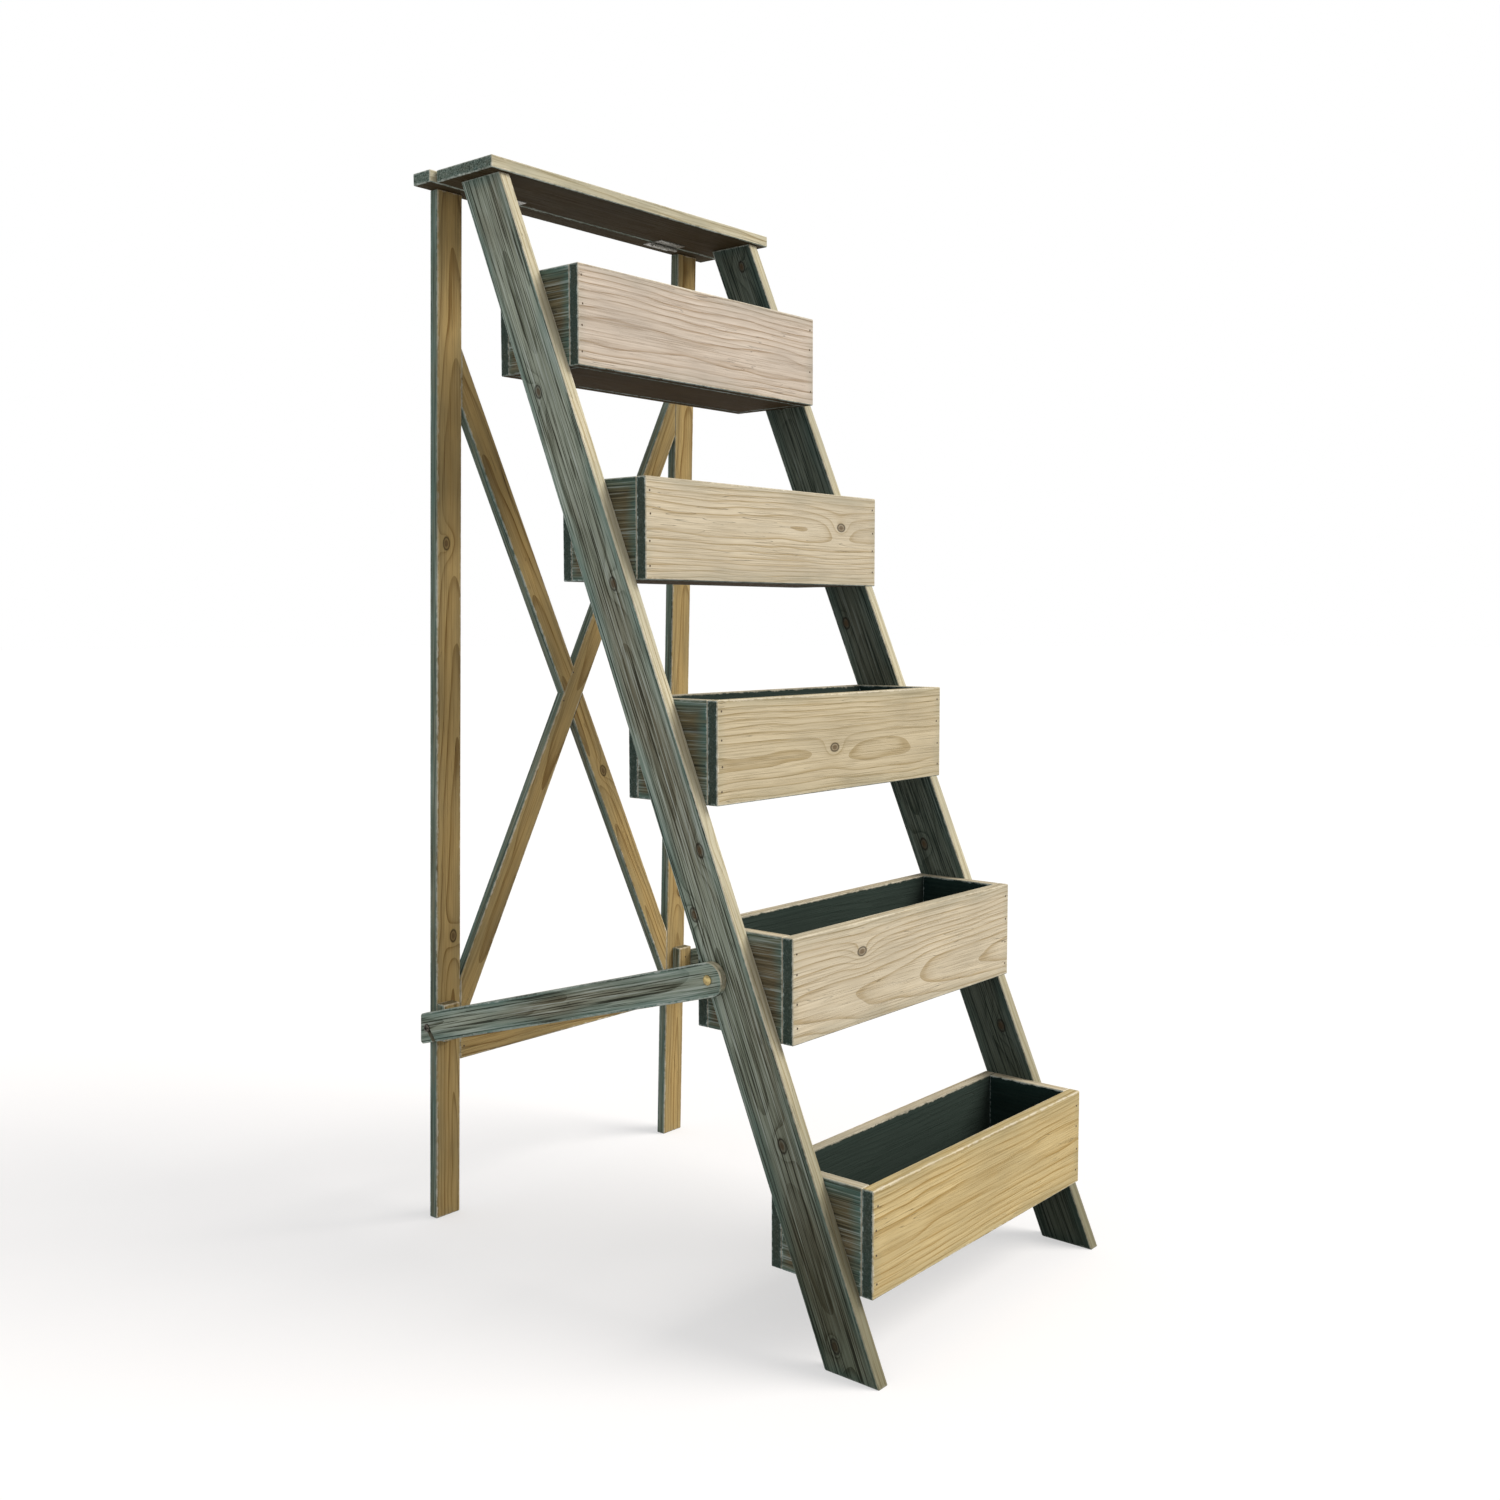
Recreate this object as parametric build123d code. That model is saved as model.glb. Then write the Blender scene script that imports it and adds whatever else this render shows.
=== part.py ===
from build123d import *
import math
import os

# A ladder plant stand that folds flat. Two leaning stringers carry five planter boxes and a
# top board. A rear frame hangs on two hinges behind the top board. A strap on each side
# hooks over a screw in the rear leg and holds the stand open.
# Sizes are millimetres. X runs across the stand, the front faces -Y and Z is up. The origin
# is on the floor under the middle of the stand's outline.

# Boards
board_thick = 18.0
edge_ease = 1.2

# Ladder
stand_height = 1650.0
ladder_width = 590.0
stringer_thick = 20.0
stringer_width = 80.0
stringer_lean = 22.92

# Top board and batten
top_depth = 126.0
top_nose = 8.0
top_overhang = 21.0
batten_depth = 40.0
batten_overhang = 32.0
batten_gap = 2.0

# Planter boxes, counted from the floor
box_count = 5
box_height = 144.0
box_depth = 168.0
box_nose = 80.0
box_floor_thick = 12.0
lowest_box = 104.0
top_clear = 148.0

# Rear frame
rear_lean = 1.755
leg_width = 48.0
brace_width = 40.0
brace_top = 1355.0
brace_foot = 347.0
crossbar_width = 48.0
crossbar_low = 258.0

# Side straps
strap_thick = 12.0
strap_width = 48.0
strap_gap = 0.5
strap_tail = 8.0
strap_corner = 5.0
strap_box_number = 2
pivot_drop = 67.0
pivot_edge = 16.0
hook_height = 321.0
hook_clear = 1.2
hook_play = 0.3
swing_per_fold = 3.5

# Blocks on the front of the rear legs, beside the straps
block_width = 32.0
block_thick = 18.0
block_length = 60.0
block_rise = 39.0

# Bolts through the strap, the stringer and the side of a box
bolt_dia = 8.0
bolt_head_dia = 14.0
bolt_head_rim = 1.5
bolt_head_high = 5.0
bolt_tail = 3.0
washer_dia = 16.0
washer_thick = 1.6
nut_flats = 13.0
nut_high = 6.5
running_fit = 0.05
head_gap = 0.3

# Screws in the rear legs that the straps hook over
screw_dia = 6.0
screw_bite = 30.0
screw_head_dia = 13.0
screw_head_rim = 1.2
screw_head_high = 4.0
socket_flats = 4.0
socket_deep = 2.2

# Butt hinges under the joint of top board and batten
hinge_spacing = 370.0
hinge_length = 60.0
leaf_width = 22.0
leaf_thick = 1.5
leaf_gap = 0.4
knuckle_dia = 7.0
knuckle_count = 5
knuckle_gap = 0.3
pin_dia = 4.0

# Heights and places that follow from the sizes above
under_top = stand_height - board_thick
box_pitch = (under_top - top_clear - box_height - lowest_box) / (box_count - 1)
lean_rise = math.tan(math.radians(stringer_lean))
rear_rise = math.tan(math.radians(rear_lean))
stringer_span = stringer_width / math.cos(math.radians(stringer_lean))
leg_span = board_thick / math.cos(math.radians(rear_lean))
top_front_run = under_top * lean_rise - top_nose
batten_back_run = top_front_run + top_depth + batten_gap + batten_depth
stand_depth = batten_back_run + under_top * rear_rise

foot_front = -stand_depth / 2
top_front = foot_front + top_front_run
top_back = top_front + top_depth
batten_front = top_back + batten_gap
batten_back = batten_front + batten_depth
leg_foot_back = stand_depth / 2

outer_x = ladder_width / 2
inner_x = outer_x - stringer_thick
leg_inner_x = outer_x - leg_width
strap_inner_x = outer_x + strap_gap
strap_outer_x = strap_inner_x + strap_thick

sides = {"left": -1, "right": 1}


def stringer_front(z):
    """Y of the stringers' front edge at a height."""
    return foot_front + z * lean_rise


def leg_back(z):
    """Y of the rear legs' back face at a height."""
    return leg_foot_back - z * rear_rise


def box_underside(number):
    return lowest_box + box_pitch * (number - 1)


def box_front(number):
    """Y of a box's front face, set by where its rim stands ahead of the stringers."""
    return stringer_front(box_underside(number) + box_height) - box_nose


# The strap turns about its bolt and the rear frame about its hinges
pivot_z = box_underside(strap_box_number) + box_height - pivot_drop
pivot_y = stringer_front(pivot_z) + stringer_span - pivot_edge / math.cos(math.radians(stringer_lean))
hook_y = leg_back(hook_height) - leg_span / 2
hinge_y = top_back + batten_gap / 2
hinge_z = under_top - knuckle_dia / 2 - knuckle_gap

# The legs' front faces lie in this plane, with X across and its Y up along the legs
rear_out = (0, math.cos(math.radians(rear_lean)), math.sin(math.radians(rear_lean)))
rear_face = Plane(
    origin=(0, leg_foot_back - leg_span, 0),
    x_dir=(1, 0, 0),
    z_dir=tuple(-value for value in rear_out),
)


def eased(shape):
    """Takes the sharpness off every edge of a board."""
    return chamfer(shape.edges(), edge_ease)


def block_between(low, high):
    """A rectangular block from its lowest to its highest corner."""
    size = [b - a for a, b in zip(low, high)]
    middle = [(a + b) / 2 for a, b in zip(low, high)]
    return Pos(*middle) * Box(*size)


def board(low, high):
    return eased(block_between(low, high))


def side_plate(outline, x_low, thick):
    """A plate across X whose outline is given as (y, z) points."""
    face = make_face(Plane.YZ.offset(x_low) * Polyline(*outline, close=True))
    return extrude(face, amount=thick, dir=(1, 0, 0))


def frame_plate(outline, front, back):
    """A plate in the rear frame, from one depth behind the legs' front face to another."""
    face = make_face(rear_face.offset(-front) * Polyline(*outline, close=True))
    return extrude(face, amount=back - front, dir=rear_out)


def rod_x(radius, x_from, x_to, y, z):
    """A round rod or hole along X."""
    return Pos((x_from + x_to) / 2, y, z) * Rot(0, 90, 0) * Cylinder(radius, abs(x_to - x_from))


def facing(side):
    """Turns a shape that points along +Z so that it points outwards on its side."""
    return Rot(0, 90 * side, 0)


def dome_head(dia, rim, high):
    """A domed head that stands on the XY plane."""
    radius = dia / 2
    crown = high - rim
    curve = (radius**2 + crown**2) / (2 * crown)
    middle = (radius / 2, rim + math.sqrt(curve**2 - radius**2 / 4) - (curve - crown))
    outline = Polyline((0, high), (0, 0), (radius, 0), (radius, rim))
    outline += ThreePointArc((radius, rim), middle, (0, high))
    profile = make_face(Plane.XZ * outline)
    return revolve(profile, Axis.Z)


def hexagon(flats, high):
    """A hexagonal prism that stands on the XY plane."""
    return extrude(RegularPolygon(flats / 2, 6, major_radius=False), amount=high)


def stringer(side):
    outline = [
        (stringer_front(0), 0),
        (stringer_front(0) + stringer_span, 0),
        (stringer_front(under_top) + stringer_span, under_top),
        (stringer_front(under_top), under_top),
    ]
    x_low = inner_x if side > 0 else -outer_x
    bored = rod_x(bolt_dia / 2 + running_fit, side * inner_x, side * outer_x, pivot_y, pivot_z)
    return eased(side_plate(outline, x_low, stringer_thick)) - bored


def top_board():
    reach = outer_x + top_overhang
    return board((-reach, top_front, under_top), (reach, top_back, stand_height))


def batten():
    reach = outer_x + batten_overhang
    return board((-reach, batten_front, under_top), (reach, batten_back, stand_height))


def box_pieces(number):
    """The two long walls, two short walls and floor of one planter box."""
    low = box_underside(number)
    high = low + box_height
    front = box_front(number)
    back = front + box_depth
    pieces = {
        "front": board((-inner_x, front, low), (inner_x, front + board_thick, high)),
        "back": board((-inner_x, back - board_thick, low), (inner_x, back, high)),
    }
    wall_x = inner_x - board_thick
    for name, side in sides.items():
        x_low = wall_x if side > 0 else -inner_x
        start = (x_low, front + board_thick, low)
        end = (x_low + board_thick, back - board_thick, high)
        wall = board(start, end)
        if number == strap_box_number:
            wall -= rod_x(bolt_dia / 2 + running_fit, side * wall_x, side * inner_x, pivot_y, pivot_z)
        pieces["side_" + name] = wall
    floor_start = (-wall_x, front + board_thick, low)
    floor_end = (wall_x, back - board_thick, low + box_floor_thick)
    pieces["floor"] = board(floor_start, floor_end)
    return pieces


def rear_leg(side):
    outline = [
        (leg_back(0) - leg_span, 0),
        (leg_back(0), 0),
        (leg_back(under_top), under_top),
        (leg_back(under_top) - leg_span, under_top),
    ]
    x_low = leg_inner_x if side > 0 else -outer_x
    leg = eased(side_plate(outline, x_low, leg_width))
    return leg - rod_x(screw_dia / 2, side * (outer_x - screw_bite), side * outer_x, hook_y, hook_height)


def brace_plate(side, front, back):
    """One diagonal, cut to the legs' inner faces. Side is where its upper end is."""
    steep = math.atan2(brace_top - brace_foot, 2 * leg_inner_x)
    half = brace_width / 2 / math.cos(steep)
    outline = [
        (side * leg_inner_x, brace_top + half),
        (side * leg_inner_x, brace_top - half),
        (-side * leg_inner_x, brace_foot - half),
        (-side * leg_inner_x, brace_foot + half),
    ]
    return frame_plate(outline, front, back)


def crossbar_plate(low):
    outline = [
        (-leg_inner_x, low),
        (leg_inner_x, low),
        (leg_inner_x, crossbar_low + crossbar_width),
        (-leg_inner_x, crossbar_low + crossbar_width),
    ]
    return frame_plate(outline, 0, board_thick)


def braces():
    """Two diagonals, halved into each other where they cross, with their feet on the crossbar."""
    half = board_thick / 2
    below = crossbar_plate(0)
    rising = eased(brace_plate(1, 0, board_thick)) - brace_plate(-1, half, board_thick) - below
    falling = eased(brace_plate(-1, 0, board_thick)) - brace_plate(1, 0, half) - below
    return {"brace_rising": rising, "brace_falling": falling}


def strap_block(side):
    x_outer = side * outer_x
    x_inner = side * (outer_x - block_width)
    high = (hook_height + block_rise) / math.cos(math.radians(rear_lean))
    outline = [(x_inner, high - block_length), (x_outer, high - block_length), (x_outer, high), (x_inner, high)]
    return eased(frame_plate(outline, -block_thick, 0))


def hook_path():
    """Direction in which the screw leaves the strap, in Y and Z, as frame and strap turn."""
    screw_y = hook_height - hinge_z
    screw_z = hinge_y - hook_y
    strap_y = (pivot_z - hook_height) * swing_per_fold
    strap_z = (hook_y - pivot_y) * swing_per_fold
    along_y = screw_y - strap_y
    along_z = screw_z - strap_z
    length = math.hypot(along_y, along_z)
    return along_y / length, along_z / length


def strap(side):
    """A strap with a round front end about its bolt and a notch that hooks over the screw."""
    drop = math.atan2(pivot_z - hook_height, hook_y - pivot_y)
    along = (math.cos(drop), -math.sin(drop))
    square = (math.sin(drop), math.cos(drop))
    half = strap_width / 2
    corners = {}
    for edge in (1, -1):
        start_y = pivot_y + edge * half * square[0]
        start_z = pivot_z + edge * half * square[1]
        reach = (leg_back(start_z) + strap_tail - start_y) / (along[0] + rear_rise * along[1])
        corners[edge] = [(start_y, start_z), (start_y + reach * along[0], start_z + reach * along[1])]
    outline = [corners[1][0], corners[1][1], corners[-1][1], corners[-1][0]]
    x_low = strap_inner_x if side > 0 else -strap_outer_x
    body = side_plate(outline, x_low, strap_thick)
    body += rod_x(half, x_low, x_low + strap_thick, pivot_y, pivot_z)
    tail = body.edges().filter_by(Axis.X).sort_by(Axis.Y)[-2:]
    body = fillet(tail, strap_corner)
    body = eased(body)
    body -= rod_x(bolt_dia / 2 + running_fit, x_low, x_low + strap_thick, pivot_y, pivot_z)
    return body - hook_notch(x_low)


def hook_notch(x_low):
    """The slot over the screw, open below, that runs the way the screw leaves."""
    out_y, out_z = hook_path()
    radius = screw_dia / 2 + hook_clear
    seat = hook_clear - hook_play
    start_y = hook_y + seat * out_y
    start_z = hook_height + seat * out_z
    run = strap_width
    outline = [
        (start_y - radius * out_z, start_z + radius * out_y),
        (start_y + radius * out_z, start_z - radius * out_y),
        (start_y + radius * out_z + run * out_y, start_z - radius * out_y + run * out_z),
        (start_y - radius * out_z + run * out_y, start_z + radius * out_y + run * out_z),
    ]
    slot = side_plate(outline, x_low, strap_thick)
    return slot + rod_x(radius, x_low, x_low + strap_thick, start_y, start_z)


def pivot_bolt(side):
    """A bolt whose head stands outside the strap and whose end passes the nut."""
    head_x = strap_outer_x + head_gap
    wall_x = inner_x - board_thick
    end_x = wall_x - washer_thick - nut_high - bolt_tail
    head = Pos(side * head_x, pivot_y, pivot_z) * facing(side)
    head *= dome_head(bolt_head_dia, bolt_head_rim, bolt_head_high)
    return head + rod_x(bolt_dia / 2, side * end_x, side * head_x, pivot_y, pivot_z)


def pivot_washer(side):
    wall_x = side * (inner_x - board_thick)
    near_x = side * (inner_x - board_thick - washer_thick)
    disc = rod_x(washer_dia / 2, near_x, wall_x, pivot_y, pivot_z)
    return disc - rod_x(bolt_dia / 2 + running_fit, near_x, wall_x, pivot_y, pivot_z)


def pivot_nut(side):
    near_x = side * (inner_x - board_thick - washer_thick - nut_high)
    far_x = side * (inner_x - board_thick - washer_thick)
    nut = Pos(near_x, pivot_y, pivot_z) * facing(side) * hexagon(nut_flats, nut_high)
    return nut - rod_x(bolt_dia / 2 + running_fit, near_x, far_x, pivot_y, pivot_z)


def hook_screw(side):
    """A socket screw that goes into the side of a rear leg and keeps the strap on."""
    head_x = strap_outer_x + head_gap
    place = Pos(side * head_x, hook_y, hook_height) * facing(side)
    head = dome_head(screw_head_dia, screw_head_rim, screw_head_high)
    head -= Pos(0, 0, screw_head_high - socket_deep) * hexagon(socket_flats, socket_deep)
    shank = rod_x(screw_dia / 2, side * (outer_x - screw_bite), side * head_x, hook_y, hook_height)
    return place * head + shank


def hinge_leaf(x_middle, toward, odd):
    """One leaf of a butt hinge. Toward is the way it lies in Y, odd is which knuckles it has."""
    radius = knuckle_dia / 2
    pitch = hinge_length / knuckle_count
    plate_high = under_top
    plate_low = under_top - leaf_thick
    x_start = x_middle - hinge_length / 2
    near = hinge_y + toward * (radius + leaf_gap)
    far = hinge_y + toward * leaf_width
    low = (x_start, min(near, far), plate_low)
    high = (x_start + hinge_length, max(near, far), plate_high)
    leaf = block_between(low, high)
    for index in range(knuckle_count):
        if index % 2 != odd:
            continue
        start = x_start + index * pitch + knuckle_gap / 2
        end = start + pitch - knuckle_gap
        tab_low = (start, min(hinge_y, near), plate_low)
        tab_high = (end, max(hinge_y, near), plate_high)
        leaf += block_between(tab_low, tab_high)
        leaf += rod_x(radius, start, end, hinge_y, hinge_z)
    return leaf - rod_x(pin_dia / 2 + running_fit, x_start, x_start + hinge_length, hinge_y, hinge_z)


def hinge_pin(x_middle):
    half = hinge_length / 2
    return rod_x(pin_dia / 2, x_middle - half, x_middle + half, hinge_y, hinge_z)


def both_sides(make):
    """One group of two alike pieces, one on each side."""
    return Compound([make(side).solid() for side in sides.values()])


def stand_pieces():
    """Every node of the stand by its name."""
    pieces = {}
    for name, side in sides.items():
        pieces["stringer_" + name] = stringer(side)
        pieces["rear_leg_" + name] = rear_leg(side)
        pieces["strap_block_" + name] = strap_block(side)
        pieces["strap_" + name] = strap(side)
    pieces["top_board"] = top_board()
    for number in range(1, box_count + 1):
        for name, shape in box_pieces(number).items():
            pieces[f"box_{number}_{name}"] = shape
    pieces["batten"] = batten()
    pieces["crossbar"] = eased(crossbar_plate(crossbar_low))
    pieces.update(braces())
    pieces["pivot_bolts"] = both_sides(pivot_bolt)
    pieces["pivot_washers"] = both_sides(pivot_washer)
    pieces["pivot_nuts"] = both_sides(pivot_nut)
    pieces["hook_screws"] = both_sides(hook_screw)
    half = hinge_spacing / 2
    pieces["hinge_leaves_fixed"] = both_sides(lambda side: hinge_leaf(side * half, -1, 0))
    pieces["hinge_leaves_moving"] = both_sides(lambda side: hinge_leaf(side * half, 1, 1))
    pieces["hinge_pins"] = both_sides(lambda side: hinge_pin(side * half))
    return pieces


os.makedirs("parts", exist_ok=True)
for node, shape in stand_pieces().items():
    export_step(shape, f"parts/{node}.step")

print("hinge axis y, z:", round(hinge_y, 3), round(hinge_z, 3))
print("strap bolt y, z:", round(pivot_y, 3), round(pivot_z, 3))
print("hook screw y, z:", round(hook_y, 3), round(hook_height, 3))
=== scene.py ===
# %% [markdown]
# A folding ladder plant stand in weathered softwood. Two leaning stringers carry planter
# boxes and a top board, and a braced frame folds out behind them. The boards, bolts and
# hinges come ready-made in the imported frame, each at its real size and place. What is
# left to do here is what the eye needs: timber that has stood outdoors for years, the
# nails that hold it together, soft light and a camera where the photographer stood.

import math
import random

import bmesh
import bpy
from mathutils import Matrix, Vector


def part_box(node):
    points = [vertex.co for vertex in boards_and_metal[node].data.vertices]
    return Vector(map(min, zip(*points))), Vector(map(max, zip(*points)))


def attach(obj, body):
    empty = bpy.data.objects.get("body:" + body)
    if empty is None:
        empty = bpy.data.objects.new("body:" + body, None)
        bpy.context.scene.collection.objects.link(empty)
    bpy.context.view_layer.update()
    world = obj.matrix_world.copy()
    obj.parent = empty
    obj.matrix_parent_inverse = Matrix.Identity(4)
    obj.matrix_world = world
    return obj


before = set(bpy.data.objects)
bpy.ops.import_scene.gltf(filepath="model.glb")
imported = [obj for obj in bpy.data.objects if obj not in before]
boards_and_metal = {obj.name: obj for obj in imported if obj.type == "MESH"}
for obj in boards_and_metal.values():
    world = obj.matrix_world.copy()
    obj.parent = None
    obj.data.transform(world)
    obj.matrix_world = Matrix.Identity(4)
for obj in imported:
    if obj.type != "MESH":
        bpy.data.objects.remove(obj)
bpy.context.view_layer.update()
MM = 0.001

# %% [markdown]
# Colours are easiest to name as the hex values that a paint chart uses. Those are sRGB,
# and a shader works in linear light, so one function turns one into the other. Another
# adds a node to a material or a group, fills in its sockets, and links it to the nodes
# that feed it. Sockets that share a name are told by number: a Map Range node has its
# value at 0, the range that comes in at 1 and 2, and the one that goes out at 3 and 4. A
# Mix node for colours has its amount at 0, its colours at 6 and 7, its result at output 2.

# %% Colour and node helpers
def paint(hex_code):
    """An sRGB hex value as linear red, green, blue and alpha."""
    channels = [int(hex_code[i : i + 2], 16) / 255 for i in (0, 2, 4)]
    linear = [c / 12.92 if c <= 0.04045 else ((c + 0.055) / 1.055) ** 2.4 for c in channels]
    return (*linear, 1.0)


def add(tree, kind, inputs=None, **settings):
    """Adds a node. An input is a value, a node (its first output) or a node and an output."""
    made = tree.nodes.new(kind)
    for name, value in settings.items():
        setattr(made, name, value)
    for socket, value in (inputs or {}).items():
        if isinstance(value, bpy.types.Node):
            value = (value, 0)
        if isinstance(value, tuple) and isinstance(value[0], bpy.types.Node):
            tree.links.new(value[0].outputs[value[1]], made.inputs[socket])
        else:
            made.inputs[socket].default_value = value
    return made


print("a mid grey, #808080, is", round(paint("808080")[0], 3), "in linear light")

# %% [markdown]
# Wood is not a picture on a board. A board is cut out of a trunk, so its figure is what
# the blade meets: rings round the heart of the tree, which show as long arches on a face
# and as curved lines on an end. A solid pattern gives both at once. It needs to know how
# each board lies, so this cell measures a board from its own faces: the largest faces
# give the thickness, the next the width, and the grain runs along what is left. The short
# side walls of the boxes are offcuts of the same wide board, so there the grain is told.

# %% Measure how each board lies
# Cosines between directions: nearly the same, nearly square, and enough for a cut end
SAME_WAY, SQUARE, CUT_END = 0.9995, 0.05, 0.3
# Two flat ends have twice the area of width times thickness, and one slanted tail less
TWO_ENDS = 1.5


def face_groups(node):
    """The node's face directions with their areas, largest first."""
    groups = []
    for polygon in boards_and_metal[node].data.polygons:
        for group in groups:
            if abs(group[0].dot(polygon.normal)) > SAME_WAY:
                group[1] += polygon.area
                break
        else:
            groups.append([polygon.normal.copy(), polygon.area])
    return sorted(groups, key=lambda group: -group[1])


def lie_of(node, grain=None):
    """A board's middle, its axes (along, across, through), half sizes and end skew."""
    groups = face_groups(node)
    through = groups[0][0]
    if grain is None:
        across = next(n for n, area in groups if abs(n.dot(through)) < SQUARE)
        along = across.cross(through)
    else:
        along = Vector(grain)
    along = along * (1 if along.x + along.z > 0 else -1)
    across = through.cross(along).normalized()
    points = [vertex.co for vertex in boards_and_metal[node].data.vertices]
    middle = Vector()
    sizes = []
    for axis in (along, across, through):
        reach = [point.dot(axis) for point in points]
        middle += axis * (min(reach) + max(reach)) / 2
        sizes.append(max(reach) - min(reach))
    flat_ends = [
        n
        for n, area in groups
        if abs(n.dot(along)) > CUT_END
        and abs(n.dot(through)) < SQUARE
        and area > TWO_ENDS * sizes[1] * sizes[2]
    ]
    end = flat_ends[0] if flat_ends else along
    skew = end.dot(across) / end.dot(along)
    half = [size / 2 / MM for size in sizes]
    half[0] -= abs(skew) * half[1]
    return middle, Matrix((along, across, through)).transposed(), half, skew


for node in ("stringer_left", "brace_rising", "box_5_side_left"):
    _, _, half, skew = lie_of(node, (0, 1, 0) if "side" in node else None)
    print(node, "half sizes, mm:", [round(size, 1) for size in half], "skew:", round(skew, 2))

# %% [markdown]
# The wood itself is one node group, shared by every board, in millimetres along, across
# and through the board. Its parts follow the life of the timber: the rings it grew with,
# the fibres and checks that weather raises, the thin grey-green wash that was brushed on
# and has stayed in the corners, and the edges that wear has rubbed pale. Over that it
# paints light and shade: faces turned to the light get a pale, lit copy of the wood, and
# faces turned away a darker, cooler shaded copy. The group gives a colour, a roughness and a
# height, and the height drives a bump, because the relief is under half a millimetre.
#
# A board tells the group its place, half sizes and end skew, where the heart of its tree
# lay, how wide the rings are and how far the nearest knot is. It says how much each face
# looks to the light, into a box, along the grain or down, and how near the ground it is;
# looking to the light, into a box or down sets its painted light and shade. The last inputs
# are the amounts of wash, of dirt in the furrows and on sawn ends, and colours.

# %% The weathered timber group
timber = bpy.data.node_groups.new("weathered_softwood", "ShaderNodeTree")
for way, kind, names in (
    ("INPUT", "NodeSocketVector", ("Place", "Half", "Heart")),
    ("INPUT", "NodeSocketFloat", ("Skew", "Seed", "Ring", "Knot")),
    ("INPUT", "NodeSocketFloat", ("Sun", "Inside", "End", "Under", "Foot")),
    ("INPUT", "NodeSocketFloat", ("Wash", "Furrow", "Sawn")),
    ("INPUT", "NodeSocketColor", ("Sun early", "Sun late", "Shade early", "Shade late")),
    ("INPUT", "NodeSocketColor", ("Wash colour", "Rub colour")),
    ("OUTPUT", "NodeSocketColor", ("Colour",)),
    ("OUTPUT", "NodeSocketFloat", ("Roughness", "Height")),
):
    for name in names:
        timber.interface.new_socket(name, in_out=way, socket_type=kind)
given = add(timber, "NodeGroupInput")


def asked(name):
    """What a board tells the group under this name."""
    return (given, name)


print("a board tells the group", len([o for o in given.outputs if o.name]), "things")

# %% [markdown]
# Every noise in the wood is stretched along the grain, because fibres are. Each is sized
# by what it stands for, in millimetres along and across the board: the slow bend of a
# trunk, fibres, streaks, blotches of weather, furrows where soft wood has worn away,
# checks, and chips at the edges. The seed moves all of them, so no two boards are alike.

# %% Stretched noises
shift = add(timber, "ShaderNodeCombineXYZ", {axis: asked("Seed") for axis in (0, 1, 2)})
noises = {}
for name, along, across, detail, rough in (
    ("bend", 260, 90, 2.0, 0.45),
    ("fibre", 90, 2.2, 3.0, 0.6),
    ("streak", 260, 8, 4.0, 0.62),
    ("blotch", 150, 55, 3.0, 0.55),
    ("furrow", 150, 2.4, 4.0, 0.6),
    ("check", 170, 6, 1.0, 0.4),
    ("chip", 11, 7, 4.0, 0.65),
):
    scale = {0: asked("Place"), 1: (1 / along, 1 / across, 1 / across)}
    spot = add(timber, "ShaderNodeVectorMath", scale, operation="MULTIPLY")
    spot = add(timber, "ShaderNodeVectorMath", {0: spot, 1: shift}, operation="ADD")
    grain = {"Vector": spot, "Scale": 1.0, "Detail": detail, "Roughness": rough}
    noises[name] = add(timber, "ShaderNodeTexNoise", grain)
fibre = add(timber, "ShaderNodeMapRange", {0: noises["fibre"], 1: 0.32, 2: 0.68})
streak = add(timber, "ShaderNodeMapRange", {0: noises["streak"], 1: 0.3, 2: 0.7})
ridge = add(timber, "ShaderNodeMapRange", {0: noises["furrow"], 1: 0.46, 2: 0.34})
furrow = add(timber, "ShaderNodeMapRange", {0: noises["furrow"], 1: 0.52, 2: 0.62})
blotch = noises["blotch"]
print("noises:", ", ".join(noises))

# %% [markdown]
# Now the rings. The place on the board is bent a little, its distance from the heart of
# the tree is cut into rings, and each ring darkens slowly and ends sharply, as late wood
# does. The heart climbs along the board, so the rings close into arches. Near a knot the
# distance is pushed up, and the rings part and flow round it.

# %% Rings
# How far a trunk strays across and through a board, and a knot's push and reach, in mm
TRUNK_BEND = (0, 22, 18)
KNOT_PUSH, KNOT_REACH = 22.0, 13
# The place within a ring and how dark it is there, from early wood to late
RING_DARKNESS = ((0.0, 0.0), (0.5, 0.06), (0.78, 0.4), (0.91, 1.0), (1.0, 0.0))

bend = {0: (noises["bend"], 1), 1: (0.5, 0.5, 0.5)}
bend = add(timber, "ShaderNodeVectorMath", bend, operation="SUBTRACT")
bend = add(timber, "ShaderNodeVectorMath", {0: bend, 1: TRUNK_BEND}, operation="MULTIPLY")
grown = {0: asked("Place"), 1: asked("Heart")}
grown = add(timber, "ShaderNodeVectorMath", grown, operation="SUBTRACT")
grown = add(timber, "ShaderNodeVectorMath", {0: grown, 1: (0, 1, 1)}, operation="MULTIPLY")
grown = add(timber, "ShaderNodeVectorMath", {0: grown, 1: bend}, operation="ADD")
heart_parts = add(timber, "ShaderNodeSeparateXYZ", {0: asked("Heart")})
place_parts = add(timber, "ShaderNodeSeparateXYZ", {0: asked("Place")})
climb = {0: (place_parts, 0), 1: (heart_parts, 0)}
climb = add(timber, "ShaderNodeMath", climb, operation="MULTIPLY")
climb = add(timber, "ShaderNodeCombineXYZ", {2: climb})
grown = add(timber, "ShaderNodeVectorMath", {0: grown, 1: climb}, operation="ADD")
radius = (add(timber, "ShaderNodeVectorMath", {0: grown}, operation="LENGTH"), 1)

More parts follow.
